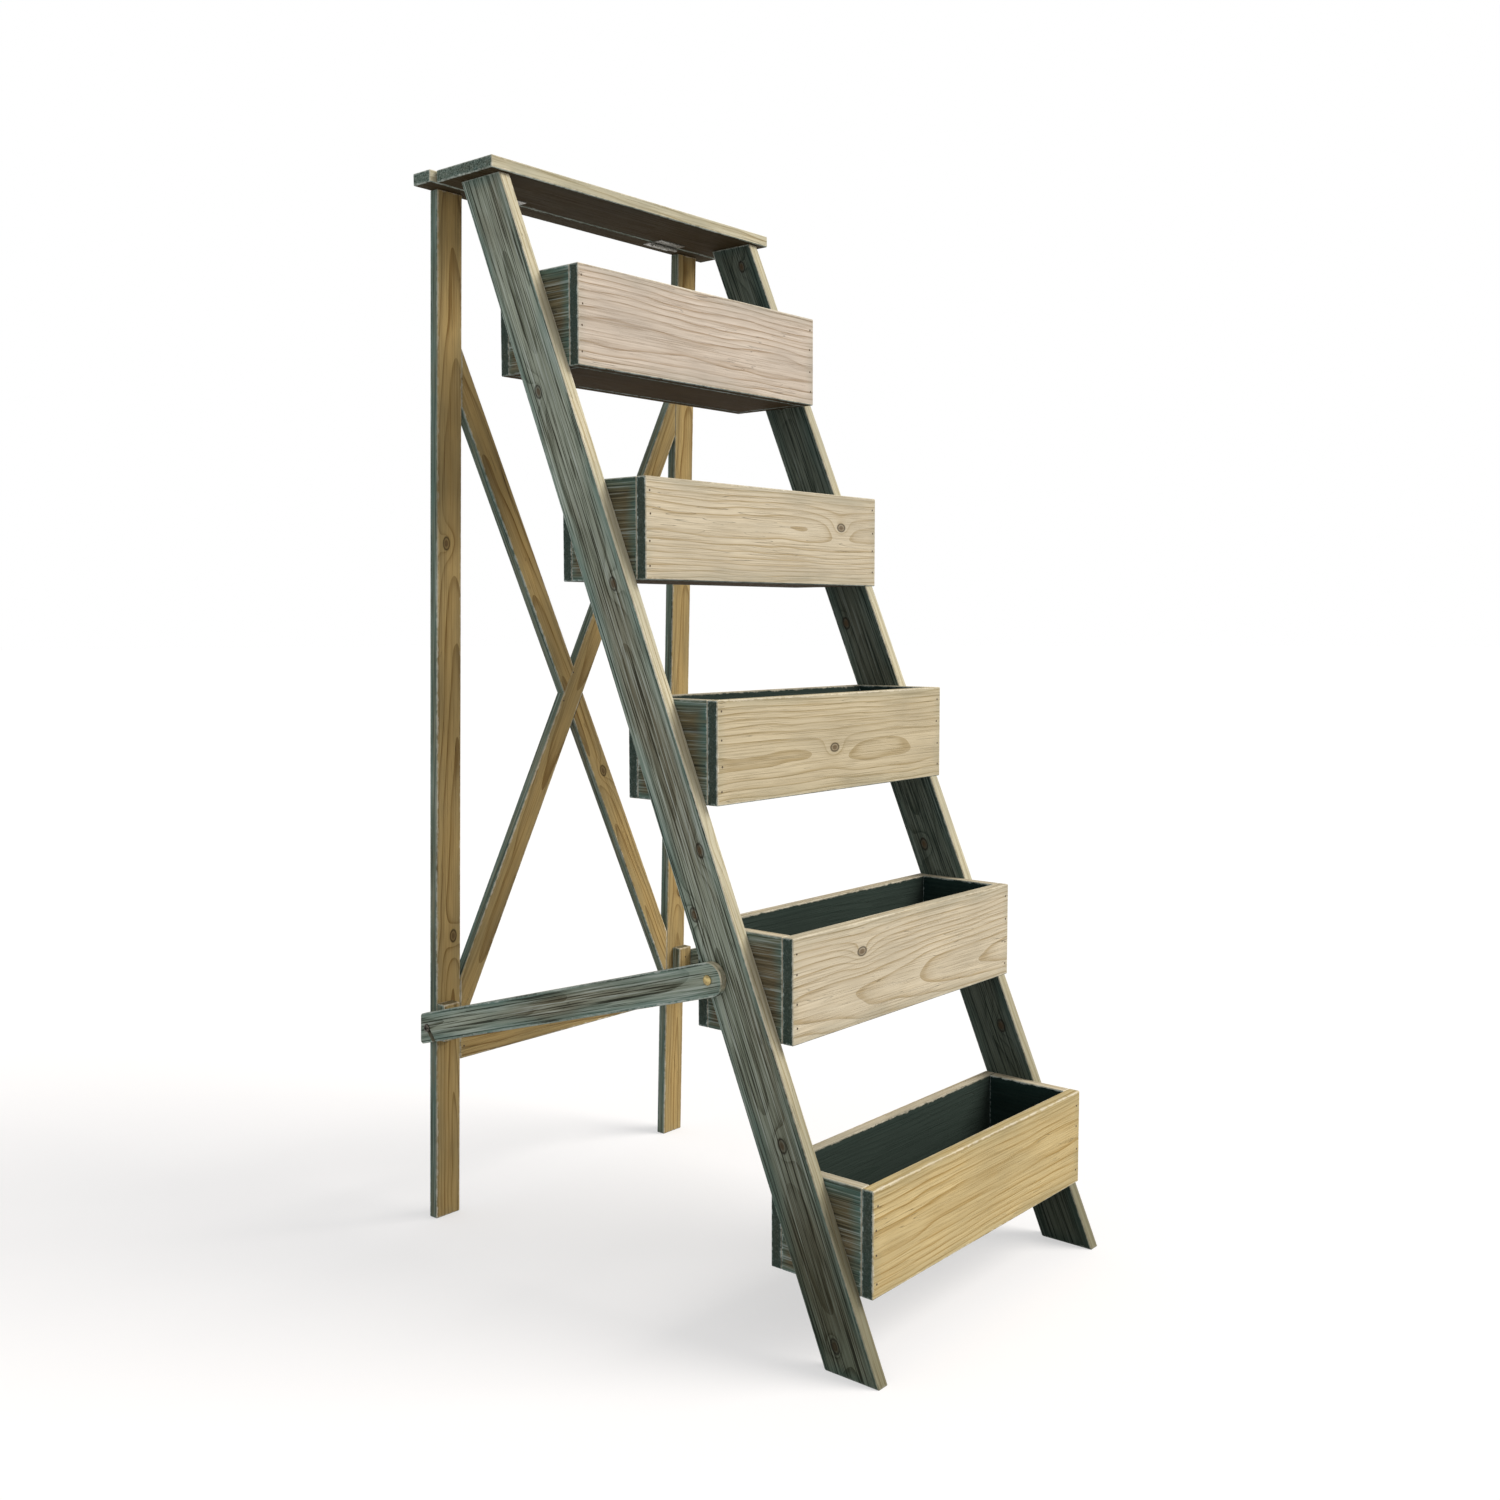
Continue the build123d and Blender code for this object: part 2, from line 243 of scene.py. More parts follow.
near_knot = {0: asked("Knot"), 1: -1 / KNOT_REACH}
near_knot = add(timber, "ShaderNodeMath", near_knot, operation="MULTIPLY")
near_knot = add(timber, "ShaderNodeMath", {0: near_knot}, operation="EXPONENT")
pushed = {0: near_knot, 1: KNOT_PUSH, 2: radius}
pushed = add(timber, "ShaderNodeMath", pushed, operation="MULTIPLY_ADD")
turns = add(timber, "ShaderNodeMath", {0: pushed, 1: asked("Ring")}, operation="DIVIDE")
turns = add(timber, "ShaderNodeMath", {0: turns}, operation="FRACT")
ring = add(timber, "ShaderNodeValToRGB", {0: turns})
for position, dark in RING_DARKNESS:
    stop = ring.color_ramp.elements.new(position)
    stop.color = (dark, dark, dark, 1)
for spare in (0, -1):
    ring.color_ramp.elements.remove(ring.color_ramp.elements[spare])
print("stops in a ring:", len(ring.color_ramp.elements))

# %% [markdown]
# Then what years outdoors do. Wood shrinks across the grain and splits into hair-fine
# checks, which are thin bands where a long stretched noise passes its middle value. They
# come in patches, as they do where water has stood.

# %% Checks
CHECK_HALF_WIDTH = 0.011
split = add(timber, "ShaderNodeMath", {0: noises["check"], 1: 0.5}, operation="SUBTRACT")
split = add(timber, "ShaderNodeMath", {0: split}, operation="ABSOLUTE")
thin = {0: split, 1: 0.0, 2: CHECK_HALF_WIDTH, 3: 1.0, 4: 0.0}
split = add(timber, "ShaderNodeMapRange", thin)
patchy = add(timber, "ShaderNodeMapRange", {0: blotch, 1: 0.48, 2: 0.62})
split = add(timber, "ShaderNodeMath", {0: split, 1: patchy}, operation="MULTIPLY")
print("checks are", round(2 * CHECK_HALF_WIDTH * 100, 1), "% of the noise's span")

# %% [markdown]
# The distance to the nearest edge comes from the board's half sizes. Of the distances to
# the three pairs of faces one is zero, and the lesser of the other two is the way to the
# edge, which is the middle one of the three. Where the ends are cut at a slant, the place
# along the board is sheared by the same skew first.

# %% The distance to an edge
sheared = {0: (place_parts, 1), 1: asked("Skew"), 2: (place_parts, 0)}
sheared = add(timber, "ShaderNodeMath", sheared, operation="MULTIPLY_ADD")
sheared = {0: sheared, 1: (place_parts, 1), 2: (place_parts, 2)}
sheared = add(timber, "ShaderNodeCombineXYZ", sheared)
inward = add(timber, "ShaderNodeVectorMath", {0: sheared}, operation="ABSOLUTE")
inward = {0: asked("Half"), 1: inward}
inward = add(timber, "ShaderNodeVectorMath", inward, operation="SUBTRACT")
inward = add(timber, "ShaderNodeSeparateXYZ", {0: inward})
first_two = {0: (inward, 0), 1: (inward, 1)}
lesser = add(timber, "ShaderNodeMath", first_two, operation="MINIMUM")
greater = add(timber, "ShaderNodeMath", first_two, operation="MAXIMUM")
greater = add(timber, "ShaderNodeMath", {0: greater, 1: (inward, 2)}, operation="MINIMUM")
edge = add(timber, "ShaderNodeMath", {0: lesser, 1: greater}, operation="MAXIMUM")
print("the way to an edge takes", len(timber.nodes), "nodes so far")

# %% [markdown]
# The wash lies thick where a brush meets an edge and thin in the middle of a wide face,
# and it stays in the streaks. The rub is a broken pale line along each edge. Both grow
# and shrink with noise, so that no border is even.

# %% Wash and rub
# How far, in mm, streaks and blotches move the border of the wash, and chips the rub's
STREAK_STEP, BLOTCH_STEP, CHIP_STEP = 9.0, 40.0, -9.0
# The wash thins out and the rub ends between these distances from the edge, noise included
WASH_FROM, WASH_TO = 26.0, 44.0
RUB_FROM, RUB_TO = -3.8, -1.9

ragged = edge
for layer, step in ((streak, STREAK_STEP), (blotch, BLOTCH_STEP)):
    moved = {0: layer, 1: step, 2: ragged}
    ragged = add(timber, "ShaderNodeMath", moved, operation="MULTIPLY_ADD")
thinning = {0: ragged, 1: WASH_FROM, 2: WASH_TO, 3: 0.9, 4: 0.1}
brushed = add(timber, "ShaderNodeMapRange", thinning)
streaked = add(timber, "ShaderNodeMapRange", {0: streak, 1: 0.1, 2: 0.9, 3: 0.5, 4: 1.1})
# Painted shade: the wash is drawn thicker on faces turned from the light, as a cool tint
thicker_in_shade = add(timber, "ShaderNodeMapRange", {0: asked("Sun"), 3: 1.0, 4: 0.2})
for share in (streaked, asked("Wash"), thicker_in_shade):
    brushed = add(timber, "ShaderNodeMath", {0: brushed, 1: share}, operation="MULTIPLY")
brushed.use_clamp = True

rubbed = {0: noises["chip"], 1: CHIP_STEP, 2: edge}
rubbed = add(timber, "ShaderNodeMath", rubbed, operation="MULTIPLY_ADD")
rubbed = {0: rubbed, 1: RUB_FROM, 2: RUB_TO, 3: 0.85, 4: 0.0}
rubbed = add(timber, "ShaderNodeMapRange", rubbed)
spared = {0: noises["streak"], 1: 0.38, 2: 0.6, 3: 0.25, 4: 1.0}
spared = add(timber, "ShaderNodeMapRange", spared)
rubbed = add(timber, "ShaderNodeMath", {0: rubbed, 1: spared}, operation="MULTIPLY")
print("a board's wash has thinned out", WASH_TO, "mm in at most")

# %% [markdown]
# Next the colours are put on in the order in which they came, each over the ones before.
# On faces turned to the light they make a painted lit copy of the wood: early wood, late
# wood, both pale, and a trace of wash.

# %% Colour of lit faces, painted light
STAIN = {
    name: paint(hex_code)
    for name, hex_code in {
        "tannin": "74634a",
        "furrow dirt": "2a2b21",
        "bare brown": "3c2d15",
        "end grain": "36443f",
        "wet and shaded inside": "1e322f",
        "rubbed wood": "ddd3bd",
        "knot": "5a4630",
        "knot rim": "241b13",
        "check": "2b2a22",
        "low_darkening": "9fa198",
    }.items()
}
fade = add(timber, "ShaderNodeMapRange", {0: blotch, 1: 0.34, 2: 0.62, 3: 0.35, 4: 0.85})
figure = add(timber, "ShaderNodeMath", {0: ring, 1: fade}, operation="MULTIPLY")
for layer in (fibre, furrow):
    figure = {0: layer, 1: 0.3, 2: figure}
    figure = add(timber, "ShaderNodeMath", figure, operation="MULTIPLY_ADD", use_clamp=True)
sunny = asked("Sun early")
for amount, tint in ((figure, asked("Sun late")), (brushed, asked("Wash colour"))):
    coat = {0: amount, 6: sunny, 7: tint}
    sunny = (add(timber, "ShaderNodeMix", coat, data_type="RGBA"), 2)
print("stains:", ", ".join(STAIN))

# %% [markdown]
# Faces turned away from the light get a painted shaded copy, darker and cooler: grey early
# and late wood, brown tannin, the wash, dirt in the furrows, and silvered ridges between them.

# %% Colour of shaded faces
grey = add(timber, "ShaderNodeMath", {0: streak, 1: 0.7, 2: figure}, operation="MULTIPLY_ADD")
grey = add(timber, "ShaderNodeMath", {0: grey, 1: 0.29}, operation="SUBTRACT", use_clamp=True)
tannin = {0: noises["bend"], 1: 0.47, 2: 0.62, 3: 0.0, 4: 0.5}
tannin = add(timber, "ShaderNodeMapRange", tannin)
dirt = add(timber, "ShaderNodeMath", {0: furrow, 1: asked("Furrow")}, operation="MULTIPLY")
silver = add(timber, "ShaderNodeMath", {0: ridge, 1: asked("Furrow")}, operation="MULTIPLY")
silver = add(timber, "ShaderNodeMath", {0: silver, 1: 0.75}, operation="MULTIPLY")
shade_coats = (
    (grey, asked("Shade late")),
    (tannin, STAIN["tannin"]),
    (brushed, asked("Wash colour")),
    (dirt, STAIN["furrow dirt"]),
    (silver, asked("Rub colour")),
)
shady = asked("Shade early")
for amount, tint in shade_coats:
    coat = {0: amount, 6: shady, 7: tint}
    shady = (add(timber, "ShaderNodeMix", coat, data_type="RGBA"), 2)
# Painted light and shade: the lit copy on faces turned to the light, the shaded copy elsewhere
sun_or_shade = {0: asked("Sun"), 6: shady, 7: sunny}
wood = (add(timber, "ShaderNodeMix", sun_or_shade, data_type="RGBA"), 2)
print("coats on a shaded face:", len(shade_coats))

# %% [markdown]
# Last comes what a place on the board does to it. Undersides stay brown and are darkened
# with painted shade, sawn ends soak up dirt, the insides of the boxes are stained by years
# of wet and darkened with painted shade, edges are rubbed pale, and knots and checks are
# dark. A knot is a dark face with a darker rim.

# %% Colour by place
# A knot's face fades out between these distances from its middle, and its rim lies here
KNOT_FACE, KNOT_RIM, RIM_HALF_WIDTH = (2.6, 6.5), 6.0, 1.8

# Painted shade: undersides are darkened to a deep brown, over their real unweathered brown
underside_brown_and_shade = add(timber, "ShaderNodeMath", {0: asked("Under"), 1: 0.93}, operation="MULTIPLY")
sawn = add(timber, "ShaderNodeMath", {0: asked("End"), 1: asked("Sawn")}, operation="MULTIPLY")
# The rub takes painted light too: cream on lit faces, cool grey-blue on shaded ones
rub_tint = {0: asked("Sun"), 6: asked("Rub colour"), 7: STAIN["rubbed wood"]}
rub_tint = (add(timber, "ShaderNodeMix", rub_tint, data_type="RGBA"), 2)
knot_face = {0: asked("Knot"), 1: KNOT_FACE[0], 2: KNOT_FACE[1], 3: 0.8, 4: 0.0}
knot_face = add(timber, "ShaderNodeMapRange", knot_face)
rim = add(timber, "ShaderNodeMath", {0: asked("Knot"), 1: KNOT_RIM}, operation="SUBTRACT")
rim = add(timber, "ShaderNodeMath", {0: rim}, operation="ABSOLUTE")
rim = add(timber, "ShaderNodeMapRange", {0: rim, 1: 0.0, 2: RIM_HALF_WIDTH, 3: 0.85, 4: 0.0})
dark_split = add(timber, "ShaderNodeMath", {0: split, 1: 0.6}, operation="MULTIPLY")
place_coats = (
    (underside_brown_and_shade, STAIN["bare brown"]),
    (sawn, STAIN["end grain"]),
    # Painted shade inside the boxes and on the stringers' inner sides, over the boxes' wet stain
    (asked("Inside"), STAIN["wet and shaded inside"]),
    (rubbed, rub_tint),
    (knot_face, STAIN["knot"]),
    (rim, STAIN["knot rim"]),
    (dark_split, STAIN["check"]),
)
for amount, tint in place_coats:
    coat = {0: amount, 6: wood, 7: tint}
    wood = (add(timber, "ShaderNodeMix", coat, data_type="RGBA"), 2)
print("coats by place:", len(place_coats))

# %% [markdown]
# The stringers grow darker towards the ground. That darkening and the slow changes of tone
# darken what is there and leave its pattern, so they are multiplied in.

# %% Darker towards the ground, and tone
low_darkening = add(timber, "ShaderNodeMath", {0: blotch, 1: 0.6, 2: -0.3}, operation="MULTIPLY_ADD")
low_darkening = {0: asked("Foot"), 1: low_darkening}
low_darkening = add(timber, "ShaderNodeMath", low_darkening, operation="ADD", use_clamp=True)
low_darkening = add(timber, "ShaderNodeMath", {0: low_darkening, 1: asked("Foot")}, operation="MULTIPLY")
tone = add(timber, "ShaderNodeMapRange", {0: blotch, 1: 0.3, 2: 0.7, 3: 0.86, 4: 1.12})
tone = add(timber, "ShaderNodeCombineXYZ", {channel: tone for channel in (0, 1, 2)})
for amount, tint in ((low_darkening, STAIN["low_darkening"]), (1.0, tone)):
    shade = {0: amount, 6: wood, 7: tint}
    wood = add(timber, "ShaderNodeMix", shade, data_type="RGBA", blend_type="MULTIPLY")
    wood = (wood, 2)
print("the colour takes", len(timber.nodes), "nodes")

# %% [markdown]
# Weathered late wood stands proud of the soft early wood, fibres stand up as fine ridges,
# and a check is a groove. Bare, bleached wood is almost matt, and raised fibres shine a
# little more than what lies between them.

# %% Relief and roughness
RING_HEIGHT = 0.16
HEIGHTS = ((fibre, 0.2), (furrow, -0.25), (split, -0.5), (rim, -0.4), (noises["chip"], 0.12))
relief = add(timber, "ShaderNodeMath", {0: ring, 1: RING_HEIGHT}, operation="MULTIPLY")
for layer, height in HEIGHTS:
    raised = {0: layer, 1: height, 2: relief}
    relief = add(timber, "ShaderNodeMath", raised, operation="MULTIPLY_ADD")
matt = add(timber, "ShaderNodeMapRange", {0: fibre, 3: 0.92, 4: 0.76})
add(timber, "NodeGroupOutput", {"Colour": wood, "Roughness": matt, "Height": relief})
print("the timber group has", len(timber.nodes), "nodes")

# %% [markdown]
# The stand has three lots of timber. Stringers, straps and top are silvery grey-green. The
# boxes are tan in front and dark on their sides, where the dark is painted shade. The rear
# frame is golden brown where it is painted lit. Each lot has early and late wood in painted
# light and in painted shade, and the colours of its wash and its rubbed edges.

# %% Three lots of timber
TIMBERS = {
    "ladder": {
        "Sun early": "d2c9ae", "Sun late": "ab9a76",
        "Shade early": "b3bba9", "Shade late": "666957",
        "Wash colour": "78968e", "Rub colour": "d0dad2",
        "Wash": 1.0, "Furrow": 0.85, "Sawn": 0.42,
    },
    "box": {
        "Sun early": "d4c8b0", "Sun late": "ae9b7a",
        "Shade early": "7d7153", "Shade late": "4d4431",
        "Wash colour": "587a72", "Rub colour": "c6d5d2",
        "Wash": 1.0, "Furrow": 0.55, "Sawn": 0.78,
    },
    "frame": {
        "Sun early": "c1a56e", "Sun late": "876a3c",
        "Shade early": "8d8263", "Shade late": "544832",
        "Wash colour": "6a8880", "Rub colour": "bccac3",
        "Wash": 1.0, "Furrow": 0.6, "Sawn": 0.6,
    },
}
# The boxes' lit fronts differ: the top ones are nearly white, the lowest is still golden
BOX_FRONTS = {1: ("cfbb8c", "a88b55"), 3: ("d0c2a4", "a89570"), 5: ("d8cbbc", "a8937c")}
print("lots of timber:", ", ".join(TIMBERS))

# %% [markdown]
# Each board gets a material of its own: the same timber, but another piece of it. The
# Mapping node turns the stand's metres into the board's millimetres. Light and shade are
# painted by the way a face looks: fronts and tops get a pale, warm lit copy of the wood,
# and sides a grey-green shaded copy. To the eye that is a matt, furrowed board, pale and
# warm on one side, cool on the other.

# %% One material per board
# The way the painted light comes from, and the way down, where undersides get painted shade
SUN_WAY, DOWN = (0.1, -0.8, 0.6), (0, 0, -1)
RING_WIDTH = 7.0
# A knot is drawn out along the grain. A board without one has it out of reach, in mm
KNOT_SHAPE, NO_KNOT = (0.62, 1.0, 0.0), 400.0
# Weathered softwood has next to no gloss
BARE_WOOD_GLOSS = 0.08
# The darkening fades out between these heights above the ground, in metres
DARKENING_LOW, DARKENING_HIGH = 0.1, 0.75


def timber_material(
    node, kind, seed, knots=(), inside=(0, 0, 0), foot=0.0, grain=None, sun_pair=None
):
    """Weathered softwood for one board. Knots are (along, across) from its middle, in mm."""
    middle, axes, half, skew = lie_of(node, grain)
    material = bpy.data.materials.new("weathered_softwood_" + node)
    material.use_nodes = True
    tree = material.node_tree
    shader = tree.nodes["Principled BSDF"]
    shader.inputs["Specular IOR Level"].default_value = BARE_WOOD_GLOSS
    where = add(tree, "ShaderNodeTexCoord")
    place = add(
        tree,
        "ShaderNodeMapping",
        {
            "Vector": (where, "Object"),
            "Location": middle,
            "Rotation": axes.to_euler(),
            "Scale": (MM, MM, MM),
        },
        vector_type="TEXTURE",
    )
    knot = NO_KNOT
    for spot in knots:
        away = add(tree, "ShaderNodeVectorMath", {0: place, 1: (*spot, 0)}, operation="SUBTRACT")
        away = add(tree, "ShaderNodeVectorMath", {0: away, 1: KNOT_SHAPE}, operation="MULTIPLY")
        away = add(tree, "ShaderNodeVectorMath", {0: away}, operation="LENGTH")
        knot = add(tree, "ShaderNodeMath", {0: knot, 1: (away, 1)}, operation="MINIMUM")
    facing = {}
    for name, way in {"sun": SUN_WAY, "in": inside, "end": axes.col[0], "down": DOWN}.items():
        turned = {0: (where, "Normal"), 1: way}
        facing[name] = (add(tree, "ShaderNodeVectorMath", turned, operation="DOT_PRODUCT"), 1)
    sawn = add(tree, "ShaderNodeMath", {0: facing["end"]}, operation="ABSOLUTE")
    # Faces that look into a box or at the boxes get painted shade, and in the boxes a wet stain
    inside_stain_and_shade = {0: facing["in"], 1: 0.4, 2: 0.8, 3: 0.0, 4: 0.96}
    height = add(tree, "ShaderNodeSeparateXYZ", {0: (where, "Object")})
    low_down = {0: (height, 2), 1: DARKENING_LOW, 2: DARKENING_HIGH, 3: foot, 4: 0.0}
    luck = random.Random(seed)
    inputs = {
        "Place": place,
        "Half": half,
        "Skew": skew,
        "Ring": RING_WIDTH,
        "Knot": knot,
        "Heart": (
            luck.uniform(-0.04, 0.04),
            luck.uniform(-0.6, 0.6) * half[1],
            luck.uniform(25, 60),
        ),
        "Seed": luck.uniform(5, 90),
        "Sun": add(tree, "ShaderNodeMapRange", {0: facing["sun"], 1: 0.15, 2: 0.6}),
        "Inside": add(tree, "ShaderNodeMapRange", inside_stain_and_shade),
        "End": add(tree, "ShaderNodeMapRange", {0: sawn, 1: 0.8, 2: 0.9}),
        "Under": add(tree, "ShaderNodeMapRange", {0: facing["down"], 1: 0.6, 2: 0.9}),
        "Foot": add(tree, "ShaderNodeMapRange", low_down),
    }
    for name, value in TIMBERS[kind].items():
        inputs[name] = paint(value) if isinstance(value, str) else value
    if sun_pair:
        inputs["Sun early"], inputs["Sun late"] = (paint(value) for value in sun_pair)
    wood = add(tree, "ShaderNodeGroup", inputs, node_tree=timber)
    relief = {"Strength": 0.9, "Distance": MM, "Height": (wood, "Height")}
    bump = add(tree, "ShaderNodeBump", relief)
    tree.links.new(wood.outputs["Colour"], shader.inputs["Base Color"])
    tree.links.new(wood.outputs["Roughness"], shader.inputs["Roughness"])
    tree.links.new(bump.outputs[0], shader.inputs["Normal"])
    boards_and_metal[node].data.materials.clear()
    boards_and_metal[node].data.materials.append(material)


# %% [markdown]
# The stringers' knots lie where they lie on the real ones, in millimetres up from the foot
# and across from the middle. The right stringer is the same board turned round. Where a
# stringer faces the boxes its inner side is darkened with painted shade.

# %% Timber of the ladder, the straps and the rear frame
STRINGER_KNOTS = [(1423, 15), (1107, -14), (710, -21), (632, 24), (305, -5), (44, 10)]
LEG_KNOTS = [(280, 6), (-350, -9)]
STRINGER_INNER_SHADE, FOOT_DARKENING = 0.66, 0.95

stringer_half = lie_of("stringer_left")[2][0]
for number, side in enumerate(("left", "right")):
    turn = 1 if side == "left" else -1
    spots = [(turn * (up - stringer_half), turn * across) for up, across in STRINGER_KNOTS]
    inner = (turn * STRINGER_INNER_SHADE, 0, 0)
    timber_material("stringer_" + side, "ladder", 11 + number, spots, inner, FOOT_DARKENING)
    timber_material("strap_" + side, "ladder", 21 + number)
    timber_material("rear_leg_" + side, "frame", 31 + number, LEG_KNOTS)
    timber_material("strap_block_" + side, "frame", 41 + number)
timber_material("top_board", "ladder", 51)
timber_material("batten", "ladder", 52)
timber_material("crossbar", "frame", 53)
timber_material("brace_rising", "frame", 54, [(210, 5)])
timber_material("brace_falling", "frame", 55, [(-160, -4)])
print("knots on each stringer:", len(STRINGER_KNOTS), "and on each leg:", len(LEG_KNOTS))

# %% [markdown]
# A box is five boards, and each knows which of its faces looks into the box, where a wet
# stain and painted shade go. The seeds give every board its own place in the tree.

# %% Timber of the boxes
BOX_KNOTS = {3: [(-10, -8)], 4: [(180, 20)], 2: [(-120, 30)]}
# A wall's first seed, the way it looks into the box, and its grain where that is told
BOX_WALLS = {
    "front": (60, (0, 1, 0), None),
    "back": (70, (0, -1, 0), None),
    "side_left": (80, (1, 0, 0), (0, 1, 0)),
    "side_right": (90, (-1, 0, 0), (0, 1, 0)),
    "floor": (100, (0, 0, 1), None),
}
box_numbers = sorted({int(node.split("_")[1]) for node in boards_and_metal if "box_" in node})
for number in box_numbers:
    for wall, (seed, inner, grain) in BOX_WALLS.items():
        front = wall == "front"
        timber_material(
            f"box_{number}_{wall}",
            "box",
            seed + number,
            knots=BOX_KNOTS.get(number, ()) if front else (),
            inside=inner,
            grain=grain,
            sun_pair=BOX_FRONTS.get(number) if front else None,
        )
print("boards with timber:", len([m for m in bpy.data.materials if "softwood_" in m.name]))

# %% [markdown]
# The metal is plain hardware that has been out in the rain, so no piece is evenly bright:
# patches of a duller, rougher tone lie over the plating. The patches are larger than a
# real one's pits, which would not show at this distance.

# %% Metal finishes
def metal_material(name, bright, dull, roughness, patch_mm):
    """Plain metal, dulled in patches of about patch_mm."""
    material = bpy.data.materials.new(name)
    material.use_nodes = True
    tree = material.node_tree
    shader = tree.nodes["Principled BSDF"]
    shader.inputs["Metallic"].default_value = 1.0
    where = add(tree, "ShaderNodeTexCoord")
    patches = {"Vector": (where, "Object"), "Scale": 1 / (patch_mm * MM)}
    patches.update({"Detail": 4.0, "Roughness": 0.6})
    patches = add(tree, "ShaderNodeTexNoise", patches)
    mask = add(tree, "ShaderNodeMapRange", {0: patches, 1: 0.38, 2: 0.62})
    tints = {0: mask, 6: paint(bright), 7: paint(dull)}
    colour = add(tree, "ShaderNodeMix", tints, data_type="RGBA")
    rough = add(tree, "ShaderNodeMapRange", {0: mask, 3: roughness, 4: roughness + 0.25})
    pits = {"Strength": 0.3, "Distance": 0.2 * MM, "Height": patches}
    bump = add(tree, "ShaderNodeBump", pits)
    tree.links.new(colour.outputs[2], shader.inputs["Base Color"])
    tree.links.new(rough.outputs[0], shader.inputs["Roughness"])
    tree.links.new(bump.outputs[0], shader.inputs["Normal"])
    return material


# Brass plate on the domed bolts: a straw-coloured spot with a soft highlight
brass = metal_material("dulled_brass_plate", "c9b57e", "93825a", 0.27, 7.0)
# Zinc plate on washers, nuts and hinges: light grey with cloudy dull patches
zinc = metal_material("dulled_zinc_plate", "a9a8a2", "77746c", 0.4, 3.0)
# Blackened steel screws: a dark head that shines only at its rim
blackened = metal_material("blackened_steel", "6b655c", "2c2825", 0.35, 2.5)
# Bare steel nails: small brown-grey dots, partly rusted
nail_steel = metal_material("rusted_nail_steel", "6e6558", "4a3524", 0.5, 1.2)
for node, finish in {
    "pivot_bolts": brass,
    "pivot_washers": zinc,
    "pivot_nuts": zinc,
    "hook_screws": blackened,
    "hinge_leaves_fixed": zinc,
    "hinge_leaves_moving": zinc,
    "hinge_pins": zinc,
}.items():
    boards_and_metal[node].data.materials.clear()
    boards_and_metal[node].data.materials.append(finish)
print("metals:", brass.name, zinc.name, blackened.name, nail_steel.name)

# %% [markdown]
# The boards are nailed. A nail driven home leaves its head level with the board or a hair
# above it. Each head here is a round cone with an eased rim, sunk into the board but for
# a fifth of a millimetre, which is enough of an edge to catch the light. All the nails of
# one body are one piece, because they never move apart.

# %% A maker of nail and screw heads
HEAD_SIDES, HEAD_TAPER, HEAD_ROOT = 14, 0.8, 0.6 * MM
# Shares of the head's height above the board: the rim is found above one, eased by the other
RIM_SHARE, EASE_SHARE = 0.9, 0.6


def heads(name, body, places, radius, proud, finish):
    """Small round heads as one piece. Places are (point, outward direction) in metres."""
    shape = bmesh.new()
    for point, outward in places:
        point, outward = Vector(point), Vector(outward)
        turn = outward.to_track_quat("Z", "Y").to_matrix().to_4x4()
        sunk = Matrix.Translation((0, 0, (proud - HEAD_ROOT) / 2))
        made = bmesh.ops.create_cone(
            shape,
            cap_ends=True,
            segments=HEAD_SIDES,
            radius1=radius,
            radius2=radius * HEAD_TAPER,
            depth=proud + HEAD_ROOT,
            matrix=Matrix.Translation(point) @ turn @ sunk,
        )
        rim_edges = [
            edge
            for edge in {e for v in made["verts"] for e in v.link_edges}
            if all((v.co - point).dot(outward) > proud * RIM_SHARE for v in edge.verts)
        ]
        bmesh.ops.bevel(
            shape,
            geom=rim_edges,
            offset=proud * EASE_SHARE,
            affect="EDGES",
            segments=2,
            profile=0.5,
            material=-1,
        )
    mesh = bpy.data.meshes.new(name)
    shape.to_mesh(mesh)
    shape.free()
    piece = bpy.data.objects.new(name, mesh)
    bpy.context.scene.collection.objects.link(piece)
    mesh.materials.append(finish)
    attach(piece, body)
    print(name, len(places), "heads")


# %% [markdown]
# Four nails go through each end of a box's front and back into its side walls, and two
# through the top board into each stringer. A hand sets them, so they stray by a few
# millimetres. The nails in the top are driven almost flush, so the stand keeps its height.

# %% Nails of the boxes and the top
NAIL_RADIUS, NAIL_PROUD, SUNK = 1.9 * MM, 0.2 * MM, 0.17 * MM
# Nails lie this far from a board's end, in mm, and at these shares of its height
FROM_END, STRAY_ACROSS, STRAY_UP = 9, 2, 4
UP_SHARES, TOP_SHARES = (0.14, 0.38, 0.63, 0.87), (0.22, 0.62)

box_nails = []
for number in box_numbers:
    for wall, way in (("front", -1), ("back", 1)):
        low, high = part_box(f"box_{number}_{wall}")
        face_y = low.y if way < 0 else high.y
        luck = random.Random(number * 10 + way)
        for end_x, step in ((low.x, 1), (high.x, -1)):
            for share in UP_SHARES:
                x = end_x + step * (FROM_END + luck.uniform(-STRAY_ACROSS, STRAY_ACROSS)) * MM
                z = low.z + (high.z - low.z) * share + luck.uniform(-STRAY_UP, STRAY_UP) * MM
                box_nails.append(((x, face_y, z), (0, way, 0)))
low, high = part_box("top_board")
stringer_low, stringer_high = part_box("stringer_right")
for side in (-1, 1):
    for share in TOP_SHARES:
        x = side * (stringer_low.x + stringer_high.x) / 2
        y = low.y + (high.y - low.y) * share
        box_nails.append(((x, y, high.z - SUNK), (0, 0, 1)))
heads("box_nails", "ladder", box_nails, NAIL_RADIUS, NAIL_PROUD, nail_steel)

# %% [markdown]
# The rear frame leans a little, so its nails are set on the sloping front of the boards.
# That slope is a leg's own: the direction through it, turned to look forward.

